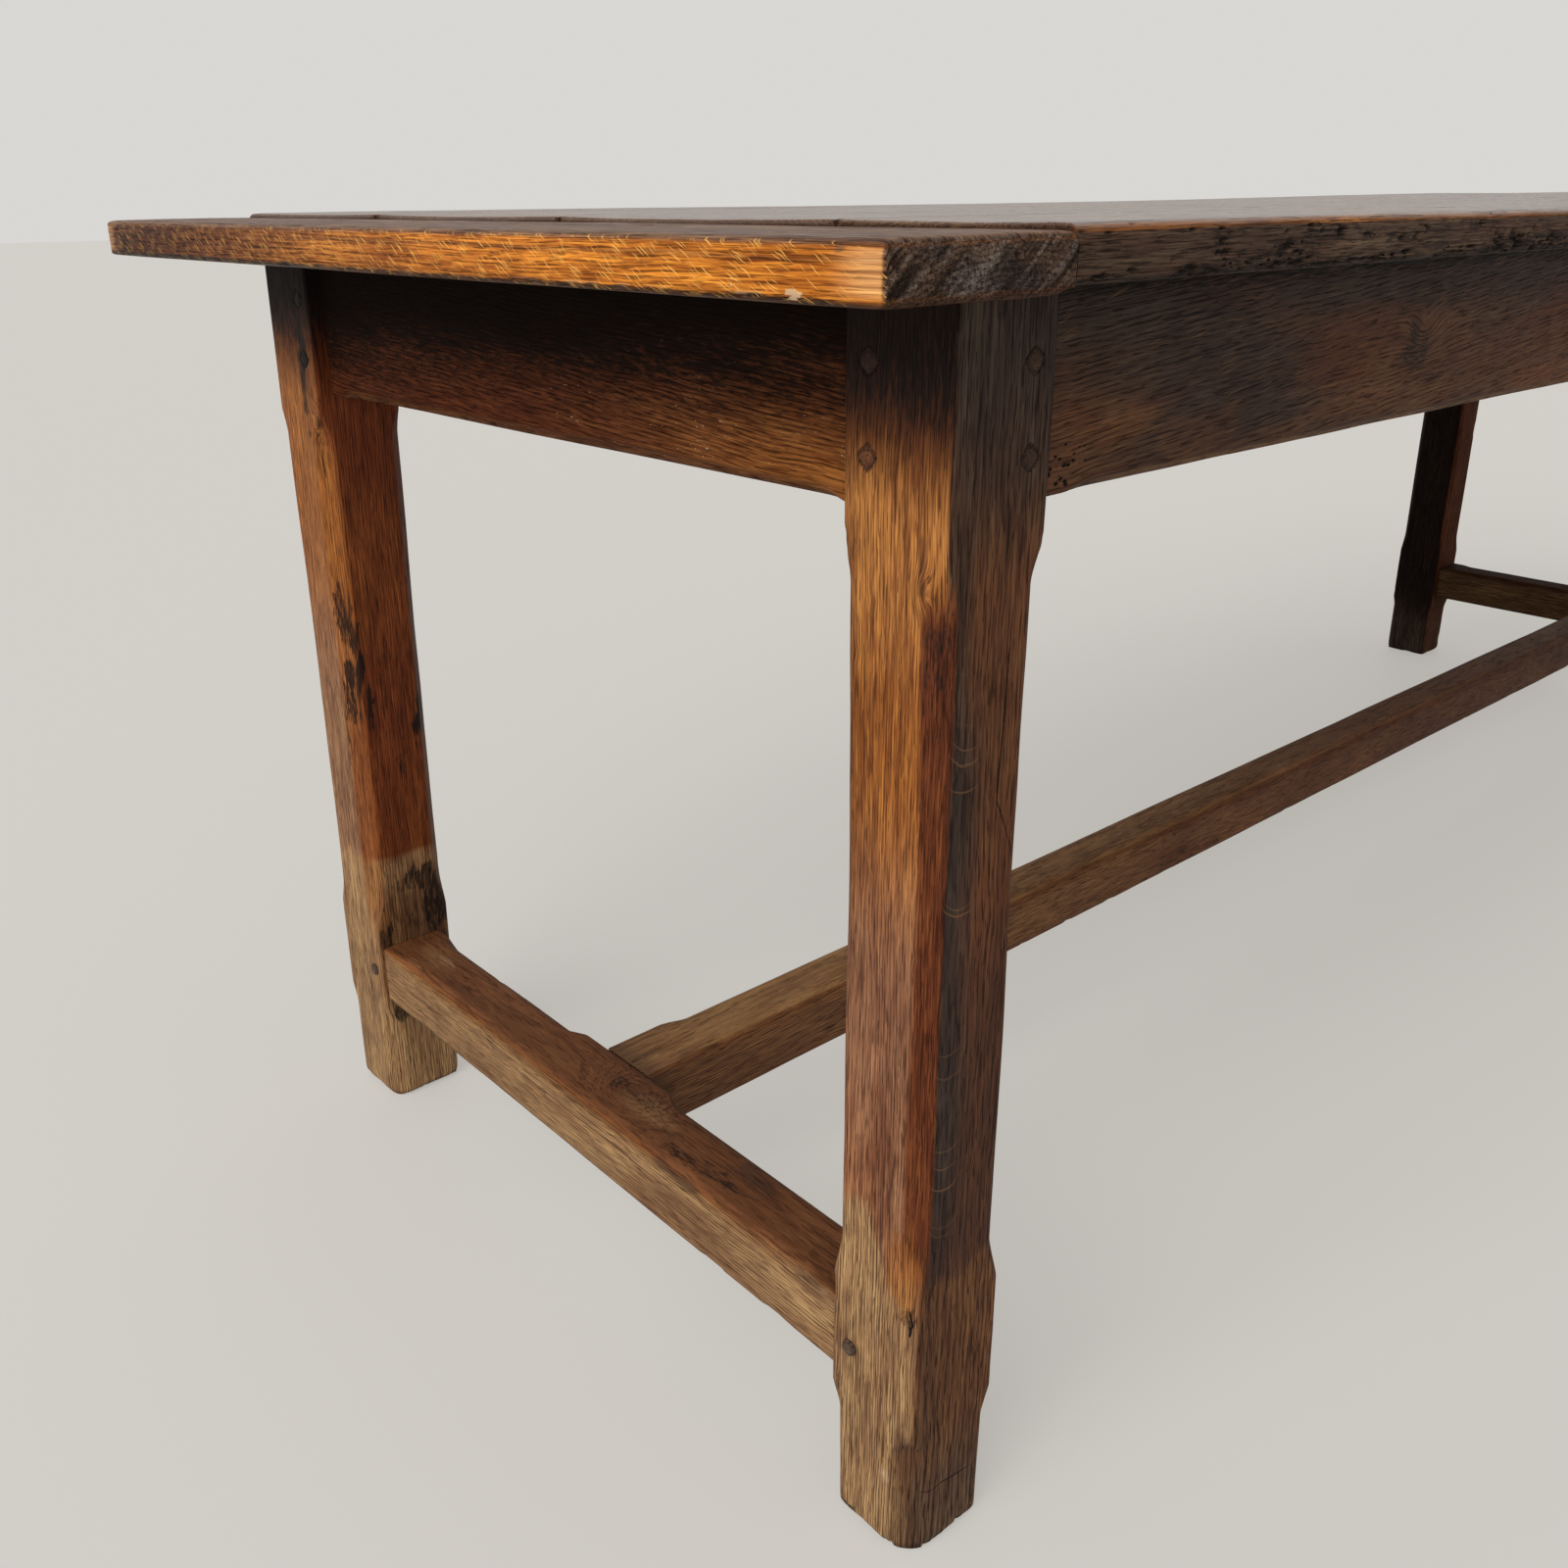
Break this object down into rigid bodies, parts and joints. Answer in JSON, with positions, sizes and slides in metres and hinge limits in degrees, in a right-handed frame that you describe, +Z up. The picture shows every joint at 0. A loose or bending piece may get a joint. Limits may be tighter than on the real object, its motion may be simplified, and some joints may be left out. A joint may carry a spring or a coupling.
{
  "type": "farmhouse dining table",
  "caption": "Long worn-oak farmhouse table: plank top with breadboard ends, chamfered square legs, pegged aprons and a low H stretcher.",
  "frame": {"origin": "on the floor, under the middle of the top", "axes": "+X along the table to its right end, +Y across the table to its back, +Z up; front is -Y and left is -X"},
  "size_m": [2.281, 0.816, 0.77],
  "materials": {
    "oak_top": "waxed, worn to a low sheen",
    "oak_breadboard": "waxed, worn to a low sheen",
    "oak_legs": "old stain and wax, worn at the arrises",
    "oak_aprons": "old dark stain and wax",
    "oak_stretchers": "worn matt",
    "oak_bearers": "unfinished, darkened",
    "oak_pegs": "dark end grain"
  },
  "bodies": {
    "root": {"leg_front_left": "oak_legs", "leg_front_right": "oak_legs", "leg_back_left": "oak_legs", "leg_back_right": "oak_legs", "side_apron_front": "oak_aprons", "side_apron_back": "oak_aprons", "end_apron_left": "oak_aprons", "end_apron_right": "oak_aprons", "end_stretcher_left": "oak_stretchers", "end_stretcher_right": "oak_stretchers", "centre_stretcher": "oak_stretchers", "bearer_left": "oak_bearers", "bearer_right": "oak_bearers", "breadboard_left": "oak_breadboard", "breadboard_right": "oak_breadboard", "plank_1": "oak_top", "plank_2": "oak_top", "plank_3": "oak_top", "plank_4": "oak_top", "peg_front_left_side_upper": "oak_pegs", "peg_front_left_side_lower": "oak_pegs", "peg_front_left_end_upper": "oak_pegs", "peg_front_left_end_lower": "oak_pegs", "peg_front_left_stretcher": "oak_pegs", "peg_front_right_side_upper": "oak_pegs", "peg_front_right_side_lower": "oak_pegs", "peg_front_right_end_upper": "oak_pegs", "peg_front_right_end_lower": "oak_pegs", "peg_front_right_stretcher": "oak_pegs", "peg_back_left_side_upper": "oak_pegs", "peg_back_left_side_lower": "oak_pegs", "peg_back_left_end_upper": "oak_pegs", "peg_back_left_end_lower": "oak_pegs", "peg_back_left_stretcher": "oak_pegs", "peg_back_right_side_upper": "oak_pegs", "peg_back_right_side_lower": "oak_pegs", "peg_back_right_end_upper": "oak_pegs", "peg_back_right_end_lower": "oak_pegs", "peg_back_right_stretcher": "oak_pegs", "peg_centre_left": "oak_pegs", "peg_breadboard_left_1": "oak_pegs", "peg_bearer_left_1": "oak_pegs", "peg_breadboard_left_2": "oak_pegs", "peg_bearer_left_2": "oak_pegs", "peg_breadboard_left_3": "oak_pegs", "peg_bearer_left_3": "oak_pegs", "peg_breadboard_left_4": "oak_pegs", "peg_bearer_left_4": "oak_pegs", "peg_centre_right": "oak_pegs", "peg_breadboard_right_1": "oak_pegs", "peg_bearer_right_1": "oak_pegs", "peg_breadboard_right_2": "oak_pegs", "peg_bearer_right_2": "oak_pegs", "peg_breadboard_right_3": "oak_pegs", "peg_bearer_right_3": "oak_pegs", "peg_breadboard_right_4": "oak_pegs", "peg_bearer_right_4": "oak_pegs"}
  },
  "joints": []
}
